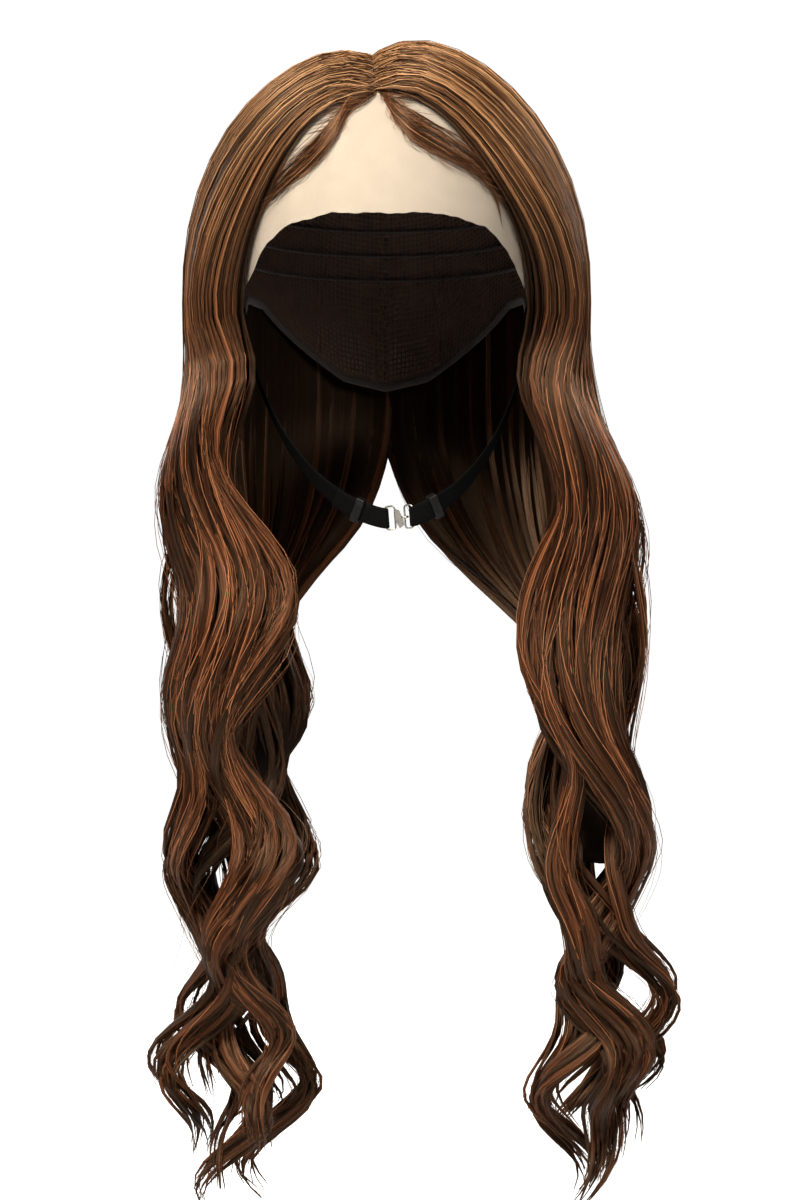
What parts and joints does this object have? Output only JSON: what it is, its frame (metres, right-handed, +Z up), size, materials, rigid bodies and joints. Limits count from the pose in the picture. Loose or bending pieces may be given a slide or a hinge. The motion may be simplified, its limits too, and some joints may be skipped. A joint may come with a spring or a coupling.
{
  "type": "lace front wig",
  "caption": "Long waved brown wig with a middle parting on a net cap, a pale lace front and a black chin strap closed by a small metal hook, in its worn form.",
  "frame": {"origin": "inside of the cap at the crown, where the wig sits on a head", "axes": "+Z up, the face opening looks along -Y, +X to the right as seen by someone who faces the wig"},
  "size_m": [0.2499, 0.2165, 0.5969],
  "materials": {
    "hair": "silky chestnut brown hair",
    "cap": "dark brown net",
    "lace": "sheer pale lace",
    "strap": "ribbed black elastic",
    "keeper": "black moulded",
    "steel": "nickel plated"
  },
  "bodies": {
    "root": {"wig_cap": "cap", "lace_front": "lace", "hair_left": "hair", "hair_right": "hair", "strap_left": "strap", "strap_right": "strap", "keeper_left": "keeper", "keeper_right": "keeper", "strap_hook": "steel", "strap_ring": "steel"}
  },
  "joints": []
}
